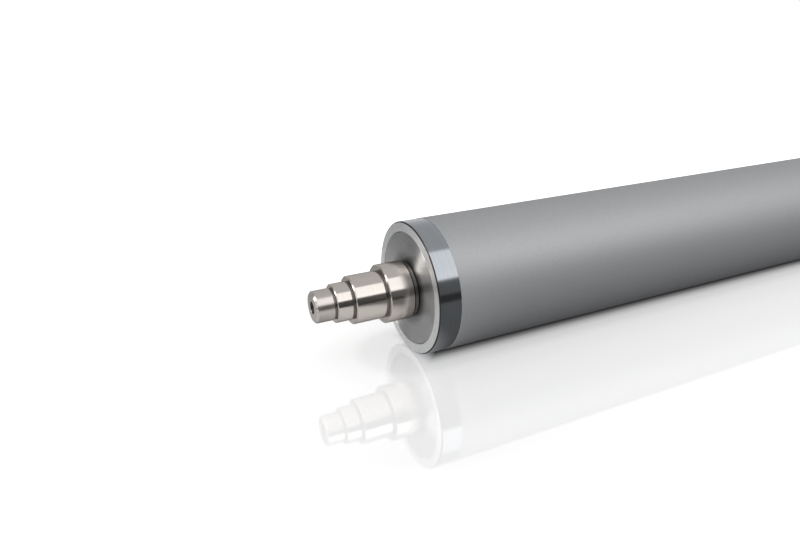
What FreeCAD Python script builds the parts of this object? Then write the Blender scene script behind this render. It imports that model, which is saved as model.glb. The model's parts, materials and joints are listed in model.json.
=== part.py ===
import FreeCAD, Part
import math
import os

# An anilox roller: a steel tube with a header disc let into each end, a stepped journal
# through each header, and a sprayed ceramic coat round the tube between two bare bands.
# Millimetres. +X runs along the roller's axis from the near end to the far end, +Z is up,
# and the origin is on the axis, half way along the roller.

# Roll face and tube
face_diameter = 143.2
face_length = 1050.0
coat_thickness = 0.3
coat_edge_chamfer = 0.15
band_width = 24.5
tube_wall = 13.3
tube_end_ring_width = 11.2
tube_end_chamfer = 1.1

# Header disc, let into a seat turned in the tube's end
header_thickness = 32.0
header_edge_chamfer = 0.7

# Journal, from the header outwards: each width runs along the axis
pilot_shoulder_width = 2.8
pilot_proud = 4.0
pilot_chamfer = 1.5
relief_width = 1.8
relief_depth = 1.5
collar_width = 3.0
collar_drop = 0.7
ring_groove_width = 1.6
ring_groove_depth = 2.0
hub_seat_diameter = 62.0
hub_seat_width = 26.2
bearing_seat_diameter = 50.0
bearing_seat_width = 34.3
sleeve_seat_diameter = 40.0
sleeve_seat_width = 17.9
tip_seat_diameter = 33.0
tip_seat_width = 20.8
seat_chamfer = 0.8
tip_chamfer = 1.8

# Undercut at the foot of each journal shoulder, for the grinding wheel to run out
undercut_width = 2.2
undercut_depth = 0.8
undercut_run_out = 0.8

# Centre hole in each journal's end, with a 60 degree cone
centre_mouth_diameter = 13.2
centre_drill_diameter = 6.3
centre_drill_depth = 13.0
centre_cone_angle = 60.0
drill_point_angle = 118.0

# Clearances: zero is metal to metal, as shrunk and sprayed pieces sit
header_fit_clearance = 0.0
pilot_fit_clearance = 0.0
coat_bond_clearance = 0.0

# Sizes worked out from the ones above
band_diameter = face_diameter - 2 * coat_thickness
tube_bore_diameter = band_diameter - 2 * tube_wall
header_seat_diameter = band_diameter - 2 * tube_end_ring_width
header_diameter = header_seat_diameter - 2 * header_fit_clearance
collar_diameter = hub_seat_diameter - 2 * collar_drop
ring_groove_diameter = hub_seat_diameter - 2 * ring_groove_depth
relief_diameter = collar_diameter - 2 * relief_depth
pilot_diameter = relief_diameter - 2 * pilot_shoulder_width
header_bore_diameter = pilot_diameter + 2 * pilot_fit_clearance
roll_end_x = face_length / 2 + band_width


def corner(x, radius, chamfer=0.0):
    """One corner of a turned outline, sharp or cut back by a chamfer along both sides."""
    return (FreeCAD.Vector(x, 0, radius), chamfer)


def turned(corners):
    """A solid of revolution about the roller's axis from a closed outline of corners."""
    points = []
    for index, (point, chamfer) in enumerate(corners):
        if chamfer == 0:
            points.append(point)
            continue
        previous_point = corners[index - 1][0]
        next_point = corners[(index + 1) % len(corners)][0]
        points.append(point + (previous_point - point).normalize() * chamfer)
        points.append(point + (next_point - point).normalize() * chamfer)
    outline = Part.Face(Part.makePolygon(points + [points[0]]))
    return outline.revolve(FreeCAD.Vector(0, 0, 0), FreeCAD.Vector(1, 0, 0), 360)


def mirrored(corners):
    """The same outline at the far end: flipped over the middle of the roller."""
    flipped = []
    for point, chamfer in reversed(corners):
        flipped.append((FreeCAD.Vector(-point.x, 0, point.z), chamfer))
    return flipped


def tube_end_corners():
    """The near end of the tube, from the bore round the end ring to the ground outside."""
    seat_bottom_x = -roll_end_x + header_thickness
    return [
        corner(seat_bottom_x, tube_bore_diameter / 2),
        corner(seat_bottom_x, header_seat_diameter / 2),
        corner(-roll_end_x, header_seat_diameter / 2, header_edge_chamfer),
        corner(-roll_end_x, band_diameter / 2, tube_end_chamfer),
    ]


def roll_tube():
    near_end = tube_end_corners()
    return turned(near_end + mirrored(near_end))


def ceramic_coat():
    """The coat lies on the tube between the two bands, and its ends are bevelled."""
    inner_radius = band_diameter / 2 + coat_bond_clearance
    outer_radius = face_diameter / 2
    near_edge = [
        corner(-face_length / 2, inner_radius),
        corner(-face_length / 2, outer_radius, coat_edge_chamfer),
    ]
    return turned(near_edge + mirrored(near_edge))


def header_corners():
    """The near header: its face is flush with the tube's end ring."""
    face_x = -roll_end_x
    back_x = face_x + header_thickness
    return [
        corner(back_x, header_bore_diameter / 2),
        corner(face_x, header_bore_diameter / 2),
        corner(face_x, header_diameter / 2, header_edge_chamfer),
        corner(back_x, header_diameter / 2),
    ]


def seat_corners(shoulder_x, end_x, diameter, end_chamfer):
    """A ground seat: the undercut at its shoulder, its wall and the chamfer at its end."""
    radius = diameter / 2
    foot_radius = radius - undercut_depth
    wall_start_x = shoulder_x - undercut_width
    return [
        corner(shoulder_x, foot_radius),
        corner(wall_start_x + undercut_run_out, foot_radius),
        corner(wall_start_x, radius),
        corner(end_x, radius, end_chamfer),
    ]


def centre_hole_corners(end_x):
    """The centre hole, from the journal's end face to the drill's point on the axis."""
    mouth_radius = centre_mouth_diameter / 2
    drill_radius = centre_drill_diameter / 2
    cone_depth = (mouth_radius - drill_radius) / math.tan(math.radians(centre_cone_angle / 2))
    point_depth = drill_radius / math.tan(math.radians(drill_point_angle / 2))
    return [
        corner(end_x, mouth_radius),
        corner(end_x + cone_depth, drill_radius),
        corner(end_x + centre_drill_depth, drill_radius),
        corner(end_x + centre_drill_depth + point_depth, 0),
    ]


def journal_corners():
    """The near journal, from the end of its pilot inside the tube out to its tip."""
    header_face_x = -roll_end_x
    pilot_end_x = header_face_x + header_thickness + pilot_proud
    collar_x = header_face_x - relief_width
    groove_x = collar_x - collar_width
    hub_start_x = groove_x - ring_groove_width
    hub_end_x = hub_start_x - hub_seat_width
    bearing_end_x = hub_end_x - bearing_seat_width
    sleeve_end_x = bearing_end_x - sleeve_seat_width
    tip_x = sleeve_end_x - tip_seat_width
    corners = [
        corner(pilot_end_x, 0),
        corner(pilot_end_x, pilot_diameter / 2, pilot_chamfer),
        corner(header_face_x, pilot_diameter / 2),
        corner(header_face_x, relief_diameter / 2),
        corner(collar_x, relief_diameter / 2),
        corner(collar_x, collar_diameter / 2),
        corner(groove_x, collar_diameter / 2),
        corner(groove_x, ring_groove_diameter / 2),
        corner(hub_start_x, ring_groove_diameter / 2),
        corner(hub_start_x, hub_seat_diameter / 2),
        corner(hub_end_x, hub_seat_diameter / 2, seat_chamfer),
    ]
    corners += seat_corners(hub_end_x, bearing_end_x, bearing_seat_diameter, seat_chamfer)
    corners += seat_corners(bearing_end_x, sleeve_end_x, sleeve_seat_diameter, seat_chamfer)
    corners += seat_corners(sleeve_end_x, tip_x, tip_seat_diameter, tip_chamfer)
    corners += centre_hole_corners(tip_x)
    return corners


def main():
    header = header_corners()
    journal = journal_corners()
    nodes = {
        "roll_tube": roll_tube(),
        "ceramic_coat": ceramic_coat(),
        "near_header": turned(header),
        "far_header": turned(mirrored(header)),
        "near_journal": turned(journal),
        "far_journal": turned(mirrored(journal)),
    }
    os.makedirs("parts", exist_ok=True)
    for name, solid in nodes.items():
        solid.exportStep("parts/" + name + ".step")
        box = solid.BoundBox
        print(name, "volume", round(solid.Volume), "x", round(box.XMin, 2), round(box.XMax, 2))


main()
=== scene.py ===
import json
import math

import bpy
import numpy as np
from mathutils import Matrix, Vector


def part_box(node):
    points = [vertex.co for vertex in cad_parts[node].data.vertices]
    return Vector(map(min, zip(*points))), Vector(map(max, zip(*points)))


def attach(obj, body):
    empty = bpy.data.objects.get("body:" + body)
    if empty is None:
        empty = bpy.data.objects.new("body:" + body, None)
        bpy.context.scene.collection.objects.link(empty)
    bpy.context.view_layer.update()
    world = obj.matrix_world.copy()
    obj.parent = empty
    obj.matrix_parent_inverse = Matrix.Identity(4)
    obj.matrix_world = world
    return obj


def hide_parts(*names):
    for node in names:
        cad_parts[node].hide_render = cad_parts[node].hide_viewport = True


# The looks of an anilox roller. Metres, in the row frame: +X along the roller's axis from the
# near end to the far end, +Z up, origin on the axis half way along.

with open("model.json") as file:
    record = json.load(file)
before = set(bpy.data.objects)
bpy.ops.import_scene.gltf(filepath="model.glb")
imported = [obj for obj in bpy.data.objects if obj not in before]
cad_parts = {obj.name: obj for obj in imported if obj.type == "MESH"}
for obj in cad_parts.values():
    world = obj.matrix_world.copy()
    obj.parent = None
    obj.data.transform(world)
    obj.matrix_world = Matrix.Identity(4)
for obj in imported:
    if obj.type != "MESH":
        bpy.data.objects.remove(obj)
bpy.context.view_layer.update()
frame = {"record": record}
mounts = {mount["name"]: mount for mount in frame["record"]["mounts"]}
mm = 0.001


# Sizes read from the frame

_, tube_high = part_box("roll_tube")
_, coat_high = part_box("ceramic_coat")
header_low, header_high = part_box("near_header")
journal_low, journal_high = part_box("near_journal")

roll_end = tube_high.x
coat_end = coat_high.x
band_radius = tube_high.z
coat_radius = coat_high.z
header_radius = header_high.z
header_thickness = header_high.x - header_low.x
pilot_depth = journal_high.x + roll_end
journal_length = -roll_end - journal_low.x


def seat_radius(name):
    return mounts[name]["dims"]["r_mm"] * mm


def seat_start(name):
    """How far outside the header's face a seat's wall starts."""
    seat = mounts[name]
    return abs(seat["pos_m"][0]) - roll_end - seat["dims"]["length_mm"] * mm / 2


# Sizes that the frame doesn't give, as the solids have them

tube_wall = 13.3 * mm
tube_end_chamfer = 1.1 * mm
joint_chamfer = 0.7 * mm
coat_edge_chamfer = 0.15 * mm
pilot_radius = 26.0 * mm
pilot_chamfer = 1.5 * mm
relief_width = 1.8 * mm
relief_radius = 28.8 * mm
collar_width = 3.0 * mm
collar_radius = 30.3 * mm
groove_radius = 29.0 * mm
seat_chamfer = 0.8 * mm
tip_chamfer = 1.8 * mm
undercut_depth = 0.8 * mm
undercut_run_out = 0.8 * mm
undercut_width = 2.2 * mm
centre_mouth_radius = 6.6 * mm
centre_drill_radius = 3.15 * mm
centre_drill_depth = 13.0 * mm
centre_cone_half_angle = math.radians(30)
drill_point_half_angle = math.radians(59)

# Rounding of the broken edges, far too small for the solids
ground_edge = 0.12 * mm
polished_edge = 0.2 * mm
worn_edge = 0.3 * mm
tool_corner = 0.25 * mm
coat_foot = 0.02 * mm
coat_edge = 0.05 * mm

# How finely the meshes are drawn
ROLL_SEGMENTS = 384
JOURNAL_SEGMENTS = 320
ARC_STEPS = 4
COAT_ROW_SPACING = 50 * mm
LARGEST_ARC = 0.45
TINY = 0.000001


# Turned shapes

def rounded_outline(corners, closed):
    """Rows of x, radius and the outward normal along an outline whose corners are rounded.

    A corner is (x, radius, rounding). The outline runs clockwise as seen with x to the right
    and the radius up, so its outside is on the left. No arc takes up more than its share of
    the runs beside it.
    """
    points = [np.array(corner[:2], float) for corner in corners]
    rows = []
    count = len(points)
    for index, point in enumerate(points):
        at_axis = not closed and index in (0, count - 1)
        if at_axis:
            beside = points[1] if index == 0 else points[-2]
            way = (beside - point) if index == 0 else (point - beside)
            way /= np.linalg.norm(way)
            rows.append((point[0], 0.0, -way[1], way[0]))
            continue
        before = points[index - 1]
        after = points[(index + 1) % count]
        way_in = (point - before) / np.linalg.norm(point - before)
        way_out = (after - point) / np.linalg.norm(after - point)
        turn = math.atan2(way_in[0] * way_out[1] - way_in[1] * way_out[0], way_in @ way_out)
        reach = corners[index][2] * abs(math.tan(turn / 2))
        shorter_run = min(np.linalg.norm(point - before), np.linalg.norm(after - point))
        reach = min(reach, LARGEST_ARC * shorter_run)
        start = point - way_in * reach
        radius = reach / abs(math.tan(turn / 2))
        centre_side = np.array((-way_in[1], way_in[0])) * math.copysign(1, turn)
        centre = start + centre_side * radius
        for step in range(ARC_STEPS + 1):
            angle = turn * step / ARC_STEPS
            cos, sin = math.cos(angle), math.sin(angle)
            way = np.array((way_in[0] * cos - way_in[1] * sin, way_in[0] * sin + way_in[1] * cos))
            normal = np.array((-way[1], way[0]))
            place = centre - normal * radius * math.copysign(1, turn)
            rows.append((place[0], place[1], normal[0], normal[1]))
    return rows


def long_run(rows, spacing):
    """The same outline with more rows on its long straight runs along x."""
    filled = []
    for row, after in zip(rows, rows[1:] + rows[:1]):
        filled.append(row)
        length = abs(after[0] - row[0])
        parts = round(length / spacing)
        if parts < 2 or abs(after[1] - row[1]) > TINY:
            continue
        for part in range(1, parts):
            filled.append((row[0] + (after[0] - row[0]) * part / parts, *row[1:]))
    return filled


def lathe(name, rows, closed, segments):
    """A mesh turned about the X axis, with the outline's own normals."""
    vertices, normals, rings = [], [], []
    for x, radius, normal_x, normal_out in rows:
        if radius < TINY:
            rings.append([len(vertices)])
            vertices.append((x, 0, 0))
            normals.append((math.copysign(1, normal_x), 0, 0))
            continue
        first = len(vertices)
        rings.append(list(range(first, first + segments)))
        for step in range(segments):
            angle = 2 * math.pi * step / segments
            sin, cos = math.sin(angle), math.cos(angle)
            vertices.append((x, radius * sin, radius * cos))
            normals.append((normal_x, normal_out * sin, normal_out * cos))
    faces = []
    following = rings[1:] + rings[:1] if closed else rings[1:]
    for ring, after in zip(rings, following):
        for step in range(segments):
            other = (step + 1) % segments
            if len(ring) == 1:
                faces.append((ring[0], after[step], after[other]))
            elif len(after) == 1:
                faces.append((ring[step], after[0], ring[other]))
            else:
                faces.append((ring[step], after[step], after[other], ring[other]))
    mesh = bpy.data.meshes.new(name)
    mesh.from_pydata(vertices, [], faces)
    mesh.polygons.foreach_set("use_smooth", [True] * len(faces))
    mesh.update()
    mesh.normals_split_custom_set_from_vertices(normals)
    piece = bpy.data.objects.new(name, mesh)
    bpy.context.scene.collection.objects.link(piece)
    return piece


def end_for_end(corners):
    """The same outline at the roller's far end, still clockwise."""
    return [(-x, radius, rounding) for x, radius, rounding in reversed(corners)]


# Outlines, near end

def tube_corners():
    seat_bottom = -roll_end + header_thickness
    bore = band_radius - tube_wall
    near = [
        (seat_bottom, bore, ground_edge),
        (seat_bottom, header_radius, tool_corner),
        (-roll_end + joint_chamfer, header_radius, ground_edge),
        (-roll_end, header_radius + joint_chamfer, ground_edge),
        (-roll_end, band_radius - tube_end_chamfer, worn_edge),
        (-roll_end + tube_end_chamfer, band_radius, worn_edge),
    ]
    return near + end_for_end(near)


def coat_corners():
    near = [
        (-coat_end, band_radius, coat_foot),
        (-coat_end, coat_radius - coat_edge_chamfer, coat_edge),
        (-coat_end + coat_edge_chamfer, coat_radius, coat_edge),
    ]
    return near + end_for_end(near)


def header_corners():
    face = -roll_end
    back = face + header_thickness
    return [
        (back, pilot_radius, ground_edge),
        (face, pilot_radius, ground_edge),
        (face, header_radius - joint_chamfer, ground_edge),
        (face + joint_chamfer, header_radius, ground_edge),
        (back, header_radius, ground_edge),
    ]


def chamfered(x, radius, chamfer, rounding):
    """The two corners of a chamfered outer edge that faces away from the roll."""
    return [(x, radius - chamfer, rounding), (x + chamfer, radius, rounding)]


def journal_corners():
    """From the drill's point on the axis, out of the centre hole and up the steps."""
    tip = -roll_end - journal_length
    cone_depth = (centre_mouth_radius - centre_drill_radius) / math.tan(centre_cone_half_angle)
    point_depth = centre_drill_radius / math.tan(drill_point_half_angle)
    drill_end = tip + centre_drill_depth
    corners = [
        (drill_end + point_depth, 0.0, 0.0),
        (drill_end, centre_drill_radius, tool_corner),
        (tip + cone_depth, centre_drill_radius, tool_corner),
        (tip, centre_mouth_radius, polished_edge),
    ]
    seats = ("near_tip_seat", "near_sleeve_seat", "near_bearing_seat", "near_hub_seat")
    outer_end = tip
    for order, name in enumerate(seats):
        radius = seat_radius(name)
        chamfer = tip_chamfer if order == 0 else seat_chamfer
        corners += chamfered(outer_end, radius, chamfer, polished_edge)
        if name == "near_hub_seat":
            break
        wall_end = -roll_end - seat_start(name)
        shoulder = wall_end + undercut_width
        foot = radius - undercut_depth
        corners += [
            (wall_end, radius, polished_edge),
            (wall_end + undercut_run_out, foot, tool_corner),
            (shoulder, foot, tool_corner),
        ]
        outer_end = shoulder
    hub_start = -roll_end - seat_start("near_hub_seat")
    collar_start = -roll_end - relief_width - collar_width
    corners += [
        (hub_start, seat_radius("near_hub_seat"), polished_edge),
        (hub_start, groove_radius, tool_corner),
        (collar_start, groove_radius, tool_corner),
        (collar_start, collar_radius, polished_edge),
        (collar_start + collar_width, collar_radius, polished_edge),
        (collar_start + collar_width, relief_radius, tool_corner),
        (-roll_end, relief_radius, ground_edge),
        (-roll_end, pilot_radius, ground_edge),
        (-roll_end + pilot_depth - pilot_chamfer, pilot_radius, ground_edge),
        (-roll_end + pilot_depth, pilot_radius - pilot_chamfer, ground_edge),
        (-roll_end + pilot_depth, 0.0, 0.0),
    ]
    return corners


# Materials

# Most of a noise lies between these
NOISE_LOW = 0.3
NOISE_HIGH = 0.7
# How much glossier or duller than its mean a metal gets with its marks
GLOSS_CHANGE = 0.1
# A quarter turn, which sets the reflections' long way square to the marks
SQUARE_TO_MARKS = 0.25
# Where a colour-mixing node has its share, its two colours and its result
MIX_INPUTS = (0, 6, 7)
MIX_RESULT = 2


def new_material(name):
    material = bpy.data.materials.new(name)
    material.use_nodes = True
    material.node_tree.nodes.clear()
    return material


def add(tree, kind, **settings):
    """A new node with its properties set."""
    node = tree.nodes.new(kind)
    for name, value in settings.items():
        setattr(node, name, value)
    return node


def ramp(tree, value, *stops):
    """A colour ramp of value through stops, each a place and a grey or a colour."""
    node = add(tree, "ShaderNodeValToRGB")
    elements = node.color_ramp.elements
    while len(elements) < len(stops):
        elements.new(0.5)
    for element, (place, colour) in zip(elements, stops):
        element.position = place
        is_grey = isinstance(colour, (int, float))
        element.color = (colour, colour, colour, 1) if is_grey else (*colour, 1)
    tree.links.new(value, node.inputs[0])
    return node.outputs[0]


def part_way(tree, value, start, stop):
    """0 below start, 1 above stop, and smooth between them."""
    node = add(tree, "ShaderNodeMapRange", interpolation_type="SMOOTHSTEP")
    node.inputs["From Min"].default_value = start
    node.inputs["From Max"].default_value = stop
    tree.links.new(value, node.inputs["Value"])
    return node.outputs[0]


def feed(tree, socket, value):
    """Gives a socket a number, or links another socket to it."""
    if isinstance(value, (int, float)):
        socket.default_value = value
    else:
        tree.links.new(value, socket)


def calculate(tree, operation, first, second=0.0):
    """A maths node on two values, each a socket or a number."""
    node = add(tree, "ShaderNodeMath", operation=operation)
    feed(tree, node.inputs[0], first)
    feed(tree, node.inputs[1], second)
    return node.outputs[0]


def mix_colours(tree, blend_type, *values):
    """Blends a share of the second colour into the first: share, first, second."""
    node = add(tree, "ShaderNodeMix", data_type="RGBA", blend_type=blend_type)
    for index, value in zip(MIX_INPUTS, values):
        feed(tree, node.inputs[index], value)
    return node.outputs[MIX_RESULT]


def times(tree, first, second):
    return calculate(tree, "MULTIPLY", first, second)


def larger(tree, first, second):
    return calculate(tree, "MAXIMUM", first, second)


def negative(tree, value):
    return calculate(tree, "MULTIPLY", value, -1.0)


def rest_of(tree, share):
    """What a share leaves of 1."""
    return calculate(tree, "SUBTRACT", 1.0, share)


def coordinates(tree, kind):
    """The x, y and z sockets of one kind of texture coordinates."""
    parts = add(tree, "ShaderNodeSeparateXYZ")
    tree.links.new(add(tree, "ShaderNodeTexCoord").outputs[kind], parts.inputs[0])
    return parts.outputs[0], parts.outputs[1], parts.outputs[2]


def flat_vector(tree, first, second):
    """The vector square to x that two sockets give, and its length."""
    flat = add(tree, "ShaderNodeCombineXYZ")
    tree.links.new(first, flat.inputs[1])
    tree.links.new(second, flat.inputs[2])
    length = add(tree, "ShaderNodeVectorMath", operation="LENGTH")
    tree.links.new(flat.outputs[0], length.inputs[0])
    return flat.outputs[0], length.outputs["Value"]


def noise(tree, place, scale, detail, roughness):
    node = add(tree, "ShaderNodeTexNoise")
    node.inputs["Scale"].default_value = scale
    node.inputs["Detail"].default_value = detail
    node.inputs["Roughness"].default_value = roughness
    tree.links.new(place, node.inputs["Vector"])
    return node.outputs["Fac"]


def turning_marks(tree, across, around):
    """Noise drawn out round the axis: fine along x and the radius, slow round the turn."""
    along, y, z = coordinates(tree, "Object")
    flat, out = flat_vector(tree, y, z)
    turn = add(tree, "ShaderNodeVectorMath", operation="NORMALIZE")
    tree.links.new(flat, turn.inputs[0])
    slow = add(tree, "ShaderNodeVectorMath", operation="SCALE")
    slow.inputs["Scale"].default_value = around
    tree.links.new(turn.outputs[0], slow.inputs[0])
    fast = times(tree, calculate(tree, "ADD", along, out), across)
    step = add(tree, "ShaderNodeCombineXYZ")
    tree.links.new(fast, step.inputs[0])
    total = add(tree, "ShaderNodeVectorMath", operation="ADD")
    tree.links.new(step.outputs[0], total.inputs[0])
    tree.links.new(slow.outputs[0], total.inputs[1])
    return noise(tree, total.outputs[0], scale=1.0, detail=4.0, roughness=0.65)


def new_shader(name, metallic, edge):
    """A material, its tree and its shader. Edge greys its reflections at a grazing angle."""
    material = new_material(name)
    tree = material.node_tree
    shader = add(tree, "ShaderNodeBsdfPrincipled")
    output = add(tree, "ShaderNodeOutputMaterial")
    tree.links.new(shader.outputs[0], output.inputs[0])
    shader.inputs["Metallic"].default_value = metallic
    shader.inputs["Specular Tint"].default_value = (edge, edge, edge, 1)
    return material, tree, shader


def emboss(tree, shader, height, strength, distance):
    """Bump on a shader, from a height between 0 and 1."""
    relief = add(tree, "ShaderNodeBump")
    relief.inputs["Strength"].default_value = strength
    relief.inputs["Distance"].default_value = distance
    tree.links.new(height, relief.inputs["Height"])
    tree.links.new(relief.outputs[0], shader.inputs["Normal"])


def painted_shade_round(tree, colour, inner_radius, outer_radius, grey):
    """Painted shade: a colour made darker by a grey at the inner radius, and plain from the outer
    one on.
    """
    _, y, z = coordinates(tree, "Object")
    _, out = flat_vector(tree, y, z)
    fade = part_way(tree, out, inner_radius, outer_radius)
    return mix_colours(tree, "MULTIPLY", 1.0, colour, ramp(tree, fade, (0.0, grey), (1.0, 1.0)))


def turned_metal(name, dark, light, roughness, anisotropy, marks, around, bump, edge, painted_shade_ring=None):
    """Metal with fine marks round the axis, which draw its reflections out across them.

    Marks is how close they lie and around how fast they change round the turn. A painted shade
    ring is the two radii and the grey of a ring of painted shade, darkest at the inner radius.
    """
    material, tree, shader = new_shader(name, metallic=1.0, edge=edge)
    shader.inputs["Anisotropic"].default_value = anisotropy
    shader.inputs["Anisotropic Rotation"].default_value = SQUARE_TO_MARKS
    tangent = add(tree, "ShaderNodeTangent", direction_type="RADIAL", axis="X")
    tree.links.new(tangent.outputs[0], shader.inputs["Tangent"])
    streaks = turning_marks(tree, marks, around)
    colour = ramp(tree, streaks, (NOISE_LOW, dark), (NOISE_HIGH, light))
    if painted_shade_ring:
        colour = painted_shade_round(tree, colour, *painted_shade_ring)
    tree.links.new(colour, shader.inputs["Base Color"])
    glossier, duller = roughness * (1 - GLOSS_CHANGE), roughness * (1 + GLOSS_CHANGE)
    gloss = ramp(tree, streaks, (NOISE_LOW, glossier), (NOISE_HIGH, duller))
    tree.links.new(gloss, shader.inputs["Roughness"])
    emboss(tree, shader, streaks, strength=1.0, distance=bump)
    return material


def engraved_ceramic():
    """Chrome oxide: half dull, half a broad metallic sheen, with the cells as fine grain."""
    material, tree, shader = new_shader("engraved_ceramic", metallic=0.5, edge=0.05)
    shader.inputs["Specular IOR Level"].default_value = 0.2
    place = add(tree, "ShaderNodeTexCoord").outputs["Object"]
    grain = noise(tree, place, scale=700.0, detail=3.0, roughness=0.5)
    colour = ramp(tree, grain, (0.25, (0.49, 0.499, 0.512)), (0.75, (0.58, 0.589, 0.604)))
    tree.links.new(colour, shader.inputs["Base Color"])
    gloss = ramp(tree, grain, (NOISE_LOW, 0.52), (NOISE_HIGH, 0.6))
    tree.links.new(gloss, shader.inputs["Roughness"])
    emboss(tree, shader, grain, strength=0.5, distance=0.05 * mm)
    return material


def dress(piece, *materials):
    for material in materials:
        piece.data.materials.append(material)


def paint_faces(piece, material, chosen):
    """Gives one of a piece's materials to the faces that chosen(centre, normal) picks."""
    index = piece.data.materials.find(material.name)
    for face in piece.data.polygons:
        if chosen(face.center, face.normal):
            face.material_index = index


# The pieces

ground_band = turned_metal(
    "ground_band", dark=(0.335, 0.358, 0.38), light=(0.385, 0.408, 0.43), roughness=0.16,
    anisotropy=0.5, marks=1500.0, around=0.5, bump=0.001 * mm, edge=0.8,
)
faced_ring = turned_metal(
    "faced_ring", dark=(0.57, 0.58, 0.59), light=(0.83, 0.84, 0.85), roughness=0.42,
    anisotropy=0.5, marks=1500.0, around=12.0, bump=0.006 * mm, edge=0.8,
)
turned_face = turned_metal(
    "turned_face", dark=(0.335, 0.333, 0.335), light=(0.457, 0.454, 0.454), roughness=0.35,
    anisotropy=1.0, marks=900.0, around=4.0, bump=0.004 * mm, edge=0.8,
    # Painted shade on the header's face round the collar, darkest at 31 mm and gone by 43 mm
    painted_shade_ring=(31 * mm, 43 * mm, 0.5),
)
polished = turned_metal(
    "polished_stainless", dark=(0.61, 0.567, 0.535), light=(0.66, 0.613, 0.575), roughness=0.16,
    anisotropy=0.3, marks=3000.0, around=0.8, bump=0.001 * mm, edge=0.4,
)
satin_tip = turned_metal(
    "satin_stainless", dark=(0.56, 0.525, 0.5), light=(0.62, 0.58, 0.55), roughness=0.32,
    anisotropy=0.5, marks=3000.0, around=0.8, bump=0.001 * mm, edge=0.4,
)
# Painted shade: a darker steel for the undercuts at the shoulders' feet and the collar by the
# header
recess_shade = turned_metal(
    "recess_shade_steel", dark=(0.24, 0.23, 0.22), light=(0.33, 0.316, 0.303), roughness=0.3,
    anisotropy=0.4, marks=2000.0, around=1.0, bump=0.003 * mm, edge=0.5,
)
# Near black: painted shade in the centre hole and in the relief and groove beside the collar, and
# also the colour of the tube's outer chamfer
near_black = turned_metal(
    "near_black_steel", dark=(0.04, 0.039, 0.038), light=(0.07, 0.068, 0.066), roughness=0.35,
    anisotropy=0.3, marks=2000.0, around=1.0, bump=0.003 * mm, edge=0.5,
)
ceramic = engraved_ceramic()

# How much of a face's normal runs along the axis: more than this on an end, and less than
# this on a wall
ALONG_ON_END = 0.9
ALONG_ON_TUBE_WALL = 0.2
ALONG_ON_TIP_WALL = 0.3

# How far inside an edge a face's centre has to lie
ring_margin = 5 * mm
groove_margin = 0.05 * mm
shoulder_margin = 0.02 * mm
collar_margin = 0.1 * mm
mouth_margin = 0.3 * mm


def beyond_face(centre):
    """How far a point lies outside the header's face."""
    return abs(centre.x) - roll_end


def off_axis(centre):
    return math.hypot(centre.y, centre.z)


def on_tube_end(centre, normal):
    return abs(normal.x) > ALONG_ON_END


def on_tube_chamfer(centre, normal):
    """The broken edge between the end ring and the ground band."""
    slopes = ALONG_ON_TUBE_WALL < abs(normal.x) <= ALONG_ON_END
    return slopes and off_axis(centre) > header_radius + ring_margin


def by_collar(centre):
    """Whether a point lies between the header and the hub seat."""
    return beyond_face(centre) < seat_start("near_hub_seat") - groove_margin


def in_recess_shade(centre, normal):
    """Painted shade: the undercuts at the feet of the shoulders, and the collar by the header."""
    if by_collar(centre):
        return True
    for name in ("near_tip_seat", "near_sleeve_seat", "near_bearing_seat"):
        start = seat_start(name)
        shoulder = start - undercut_width + shoulder_margin
        if shoulder < beyond_face(centre) < start - 0.5 * undercut_run_out:
            return True
    return False


def in_deep_shade(centre, normal):
    """Painted shade, near black: the centre hole, and the relief and the groove on either side of
    the collar.
    """
    beside_collar = by_collar(centre) and off_axis(centre) < collar_radius - collar_margin
    return beside_collar or off_axis(centre) < centre_mouth_radius - mouth_margin


def on_tip(centre, normal):
    """The tip's wall: its end face and chamfer are brighter."""
    on_wall = abs(normal.x) < ALONG_ON_TIP_WALL
    return on_wall and beyond_face(centre) > seat_start("near_tip_seat")


rows = rounded_outline(tube_corners(), closed=True)
tube = lathe("steel_tube", rows, closed=True, segments=ROLL_SEGMENTS)
dress(tube, ground_band, faced_ring, near_black)
paint_faces(tube, faced_ring, on_tube_end)
# The tube's outer chamfer is painted near black
paint_faces(tube, near_black, on_tube_chamfer)
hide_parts("roll_tube")
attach(tube, "root")

rows = long_run(rounded_outline(coat_corners(), closed=True), COAT_ROW_SPACING)
coat = lathe("ceramic_face", rows, closed=True, segments=ROLL_SEGMENTS)
dress(coat, ceramic)
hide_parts("ceramic_coat")
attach(coat, "root")

for end in ("near", "far"):
    far = end == "far"
    corners = end_for_end(header_corners()) if far else header_corners()
    rows = rounded_outline(corners, closed=True)
    header = lathe(end + "_header_disc", rows, closed=True, segments=ROLL_SEGMENTS)
    dress(header, turned_face)
    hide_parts(end + "_header")
    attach(header, "root")

    corners = end_for_end(journal_corners()) if far else journal_corners()
    rows = rounded_outline(corners, closed=False)
    journal = lathe(end + "_stub_shaft", rows, closed=False, segments=JOURNAL_SEGMENTS)
    dress(journal, polished, satin_tip, recess_shade, near_black)
    paint_faces(journal, satin_tip, on_tip)
    paint_faces(journal, recess_shade, in_recess_shade)
    paint_faces(journal, near_black, in_deep_shade)
    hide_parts(end + "_journal")
    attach(journal, "root")


# The studio

FLOOR_SIZE = 40.0
floor_level = -coat_radius

# The floor as the camera sees it. A zone is where something starts to change and where it
# has changed: metres from the roller's middle along the axis, or from the axis to the side.
ROLL_REACH = 0.55
# A painted contact shadow: by the roll's foot the glow goes out and the floor's own grey drops
CONTACT_ASIDE = (0.018, 0.046)
CONTACT_ALONG = (0.525, 0.552)
CONTACT_SHADOW_GREYS = ((0.0, 0.05), (0.6, 0.7))
# Less painted shade past the roll's ends
PAST_END = (0.6, 0.8)
PAST_END_LIFT = 0.12
FLOOR_GLOW = 1.32
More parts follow.
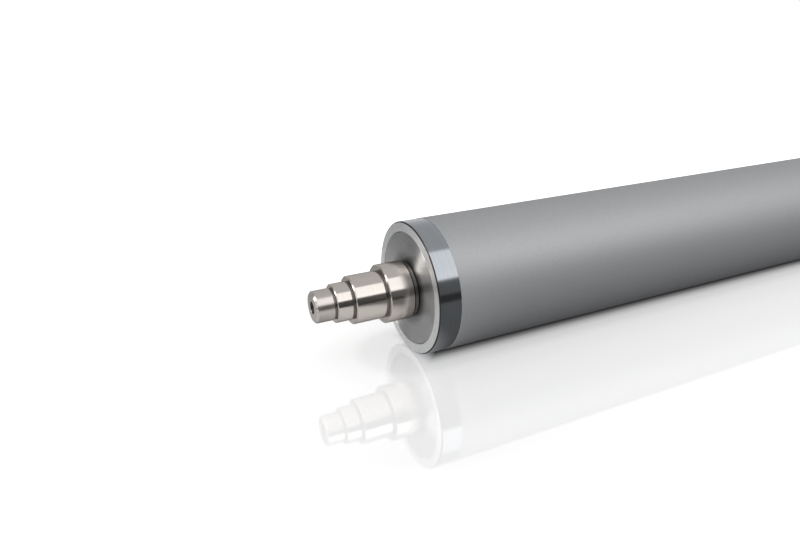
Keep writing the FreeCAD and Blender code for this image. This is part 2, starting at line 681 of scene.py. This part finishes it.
# Its glow by the distance from the roll, painted darker towards the roll as painted shade
FLOOR_SHADE_GREYS = (
    (0.0, 0.47), (0.05, 0.5), (0.065, 0.59), (0.11, 0.63), (0.2, 0.61), (0.3, 0.85), (1.0, 1.0),
)
# How much it mirrors, by the distance from the roll, and how much of that is lost behind it
MIRROR_SHARES = ((0.24, 0.34), (0.36, 0.0))
MIRROR_ROUGHNESS = 0.03
BEHIND_ROLL = (0.0, 0.08)
LOST_BEHIND = 0.75

# The floor as the pieces see it: painted shade under the roll, where it is dark and hardly glows;
# a glow of painted light past its ends and to its sides; and nearly black from some way in
# front of it, as painted shade that the metals mirror
UNSHADED_ALONG = (0.51, 0.56)
UNSHADED_ASIDE = (0.4, 0.7)
UNSHADED_DULL = ((0.0, 0.2), (1.0, 0.7))
UNSHADED_GLOW = ((0.0, 0.06), (1.0, 0.4))
BLACK_BEFORE = (0.33, 0.47)
# A brighter place past the near end, a glow of painted light, which fades in front and turns
# darker at the back
NEAR_END = (0.62, 0.7)
NEAR_END_PAINTED_LIGHT = 0.4
NEAR_END_BEFORE = (0.03, 0.12)
NEAR_END_BEHIND = (0.1, 0.35)
NEAR_END_DROP = 0.75
# A painted shadow of the journal on the floor under its tip, for rays reflected fewer times than
# TIP_REFLECTIONS
TIP_ALONG = (0.605, 0.632)
TIP_BEFORE = (0.07, 0.11)
TIP_BEHIND = (0.02, 0.06)
TIP_SHADOW_DROP = 0.38
TIP_REFLECTIONS = 1.5
# The floor never glows less than this
FAINTEST = 0.05

# The sky: its grey by height, a dimmer corner at the near end's back, and a dark band low in
# front whose grey changes along x
SKY_GREYS = ((0.0, 1.0), (0.17, 1.0), (0.6, 0.66), (1.0, 0.64))
CORNER_ALONG = (0.1, 0.5)
CORNER_BEHIND = (0.3, 0.7)
CORNER_DROP = 0.5
BAND_ALONG = (0.34, 0.43)
BAND_GREYS = ((0.0, 0.06), (1.0, 0.2))
BAND_BEFORE = (0.2, 0.5)
BAND_TOP = (0.33, 0.4)
KEPT_FROM_DULL = 0.65

# The key light, and a weaker one lower down that gives no reflection
KEY_X = 0.3
KEY_DISTANCE = 1.4
KEY_ELEVATION = math.radians(49.5)
KEY_SIZE = (2.8, 1.28)
KEY_RADIANCE = 0.88
FILL_PLACE = (KEY_X, -1.1, 0.86)
FILL_RADIANCE = 0.5

# Three small lamps that light up the near header and the journal's edges
SIDE_WAYS = ((-0.9, 0.4, 0.17), (-0.86, 0.26, 0.37), (-0.8, 0.1, 0.55))
SIDE_DISTANCE = 0.9
SIDE_SIZE = (0.2, 0.2)
SIDE_RADIANCE = 8.0
SIDE_COLOUR = (1.0, 0.95, 0.9)


def mix(tree, share, first, second):
    node = add(tree, "ShaderNodeMixShader")
    for socket, value in zip(node.inputs, (share, first, second)):
        tree.links.new(value, socket)
    return node.outputs[0]


def glowing(tree, strength, grey):
    """A dull surface of a grey that also glows."""
    glow = add(tree, "ShaderNodeEmission")
    tree.links.new(strength, glow.inputs["Strength"])
    dull = add(tree, "ShaderNodeBsdfDiffuse")
    tree.links.new(grey, dull.inputs["Color"])
    both = add(tree, "ShaderNodeAddShader")
    tree.links.new(glow.outputs[0], both.inputs[0])
    tree.links.new(dull.outputs[0], both.inputs[1])
    return both.outputs[0]


def floor_to_camera(tree, x, y):
    """White whose glow is painted darker towards the roll as painted shade, with a painted
    contact shadow and its mirror image.
    """
    along = calculate(tree, "ABSOLUTE", x)
    aside = calculate(tree, "ABSOLUTE", y)
    beyond = larger(tree, calculate(tree, "SUBTRACT", along, ROLL_REACH), 0.0)
    _, apart = flat_vector(tree, beyond, aside)
    sides = part_way(tree, aside, *CONTACT_ASIDE)
    clear = larger(tree, sides, part_way(tree, along, *CONTACT_ALONG))
    # Painted shade: the glow fades towards the roll and goes out at its foot
    shaded_glow = times(tree, ramp(tree, apart, *FLOOR_SHADE_GREYS), clear)
    lift = times(tree, part_way(tree, along, *PAST_END), PAST_END_LIFT)
    strength = times(tree, calculate(tree, "ADD", shaded_glow, lift), FLOOR_GLOW)
    white = glowing(tree, strength, ramp(tree, clear, *CONTACT_SHADOW_GREYS))
    mirror = add(tree, "ShaderNodeBsdfGlossy")
    mirror.inputs["Roughness"].default_value = MIRROR_ROUGHNESS
    lost = times(tree, part_way(tree, y, *BEHIND_ROLL), LOST_BEHIND)
    share = times(tree, ramp(tree, apart, *MIRROR_SHARES), rest_of(tree, lost))
    return mix(tree, share, white, mirror.outputs[0])


def floor_to_pieces(tree, x, y, depth):
    """Mostly dark as painted shade, so that the metals have something to mirror besides white;
    where lighter, it glows as painted light.
    """
    along = calculate(tree, "ABSOLUTE", x)
    aside = calculate(tree, "ABSOLUTE", y)
    outward = negative(tree, x)
    before = negative(tree, y)
    # Painted shade under the roll, and painted light away from it
    ends = part_way(tree, along, *UNSHADED_ALONG)
    unshaded = larger(tree, ends, part_way(tree, aside, *UNSHADED_ASIDE))
    # Nearly black in front of the roll: painted shade for the metals to mirror
    not_black = rest_of(tree, part_way(tree, before, *BLACK_BEFORE))
    dull = times(tree, ramp(tree, unshaded, *UNSHADED_DULL), not_black)
    bright = times(tree, ramp(tree, unshaded, *UNSHADED_GLOW), not_black)

    # Painted light: a glow past the near end
    drop = times(tree, part_way(tree, y, *NEAR_END_BEHIND), NEAR_END_DROP)
    change = calculate(tree, "SUBTRACT", NEAR_END_PAINTED_LIGHT, drop)
    change = times(tree, change, rest_of(tree, part_way(tree, before, *NEAR_END_BEFORE)))
    change = times(tree, part_way(tree, outward, *NEAR_END), change)
    bright = calculate(tree, "ADD", bright, change)

    # Painted shadow under the tip
    front = part_way(tree, before, *TIP_BEFORE)
    off_tip = larger(tree, front, part_way(tree, y, *TIP_BEHIND))
    under_tip = times(tree, part_way(tree, outward, *TIP_ALONG), rest_of(tree, off_tip))
    straight = calculate(tree, "LESS_THAN", depth, TIP_REFLECTIONS)
    shade = times(tree, times(tree, under_tip, straight), TIP_SHADOW_DROP)
    bright = times(tree, bright, rest_of(tree, shade))
    dull = times(tree, dull, rest_of(tree, shade))
    return glowing(tree, larger(tree, bright, FAINTEST), dull)


def floor_material():
    """A floor with one look for the camera and another for the pieces."""
    material = new_material("floor")
    tree = material.node_tree
    output = add(tree, "ShaderNodeOutputMaterial")
    path = add(tree, "ShaderNodeLightPath")
    x, y, _ = coordinates(tree, "Object")
    to_pieces = floor_to_pieces(tree, x, y, path.outputs["Ray Depth"])
    to_camera = floor_to_camera(tree, x, y)
    look = mix(tree, path.outputs["Is Camera Ray"], to_pieces, to_camera)
    tree.links.new(look, output.inputs[0])
    return material


def lay_floor():
    half = FLOOR_SIZE / 2
    corners = [(-half, -half), (half, -half), (half, half), (-half, half)]
    mesh = bpy.data.meshes.new("floor")
    mesh.from_pydata([(x, y, floor_level) for x, y in corners], [], [(0, 1, 2, 3)])
    board = bpy.data.objects.new("floor", mesh)
    board.data.materials.append(floor_material())
    bpy.context.scene.collection.objects.link(board)


def studio_world():
    """White at the horizon and light grey overhead, and plain to the camera.

    The pieces see the dimmer corner and, under the key light, the dark band. Dull surfaces
    get less of the sky.
    """
    world = bpy.data.worlds.new("studio")
    world.use_nodes = True
    tree = world.node_tree
    tree.nodes.clear()
    output = add(tree, "ShaderNodeOutputWorld")
    sky = add(tree, "ShaderNodeBackground")
    tree.links.new(sky.outputs[0], output.inputs[0])
    path = add(tree, "ShaderNodeLightPath")
    x, y, z = coordinates(tree, "Generated")
    open_sky = ramp(tree, z, *SKY_GREYS)
    band = ramp(tree, part_way(tree, x, *BAND_ALONG), *BAND_GREYS)
    low = rest_of(tree, part_way(tree, z, *BAND_TOP))
    in_band = times(tree, part_way(tree, negative(tree, y), *BAND_BEFORE), low)
    in_band = times(tree, in_band, rest_of(tree, path.outputs["Is Camera Ray"]))
    tree.links.new(mix_colours(tree, "MIX", in_band, open_sky, band), sky.inputs["Color"])

    corner = part_way(tree, negative(tree, x), *CORNER_ALONG)
    corner = times(tree, corner, part_way(tree, y, *CORNER_BEHIND))
    dimmed = rest_of(tree, times(tree, corner, CORNER_DROP))
    held_back = times(tree, path.outputs["Is Diffuse Ray"], KEPT_FROM_DULL)
    strength = times(tree, rest_of(tree, held_back), dimmed)
    strength = larger(tree, strength, path.outputs["Is Camera Ray"])
    tree.links.new(strength, sky.inputs["Strength"])
    bpy.context.scene.world = world


def soft_light(name, centre, aim, size, radiance, colour=(1, 1, 1)):
    """An area light of a given radiance, where 1 is white. The camera doesn't see it."""
    width, height = size
    lamp = bpy.data.lights.new(name, "AREA")
    lamp.shape = "RECTANGLE"
    lamp.size = width
    lamp.size_y = height
    lamp.energy = radiance * math.pi * width * height
    lamp.color = colour
    light = bpy.data.objects.new(name, lamp)
    light.location = centre
    toward = Vector(aim) - Vector(centre)
    light.rotation_euler = toward.to_track_quat("-Z", "Y").to_euler()
    light.visible_camera = False
    bpy.context.scene.collection.objects.link(light)
    return light


def place_lights():
    aim = (KEY_X, 0, 0)
    before = KEY_DISTANCE * math.cos(KEY_ELEVATION)
    key_place = (KEY_X, -before, KEY_DISTANCE * math.sin(KEY_ELEVATION))
    soft_light("key", key_place, aim, KEY_SIZE, KEY_RADIANCE)
    fill = soft_light("key_fill", FILL_PLACE, aim, KEY_SIZE, FILL_RADIANCE)
    fill.visible_glossy = False

    header_centre = Vector((-roll_end, 0, 0))
    for order, way in enumerate(SIDE_WAYS, 1):
        place = header_centre + Vector(way).normalized() * SIDE_DISTANCE
        name = "side_%d" % order
        side = soft_light(name, place, header_centre, SIDE_SIZE, SIDE_RADIANCE, SIDE_COLOUR)
        side.visible_diffuse = False


lay_floor()
studio_world()
place_lights()


# The camera, worked out from the roll's outlines in the photograph

FOCAL_PIXELS = 626.338
PHOTO_WIDTH = 800
SENSOR_WIDTH = 36.0
NEAREST = 0.01
FARTHEST = 100.0
PITCH = math.radians(19.2526)
ROLL = math.radians(-2.1731)
HEADING = math.radians(65.5135)
CAMERA_PLACE = (-0.81259, -0.56023, 0.24076)


def place_camera():
    data = bpy.data.cameras.new("camera")
    data.sensor_width = SENSOR_WIDTH
    data.lens = SENSOR_WIDTH * FOCAL_PIXELS / PHOTO_WIDTH
    data.clip_start = NEAREST
    data.clip_end = FARTHEST
    camera = bpy.data.objects.new("camera", data)
    level = Vector((math.cos(HEADING), math.sin(HEADING), 0))
    side = Vector((math.sin(HEADING), -math.cos(HEADING), 0))
    ahead = level * math.cos(PITCH) - Vector((0, 0, math.sin(PITCH)))
    above = level * math.sin(PITCH) + Vector((0, 0, math.cos(PITCH)))
    right = side * math.cos(ROLL) + above * math.sin(ROLL)
    up = above * math.cos(ROLL) - side * math.sin(ROLL)
    turn = Matrix((right, up, -ahead)).transposed()
    camera.matrix_world = Matrix.Translation(CAMERA_PLACE) @ turn.to_4x4()
    bpy.context.scene.collection.objects.link(camera)
    bpy.context.scene.camera = camera


place_camera()
bpy.context.scene.view_settings.view_transform = "Standard"
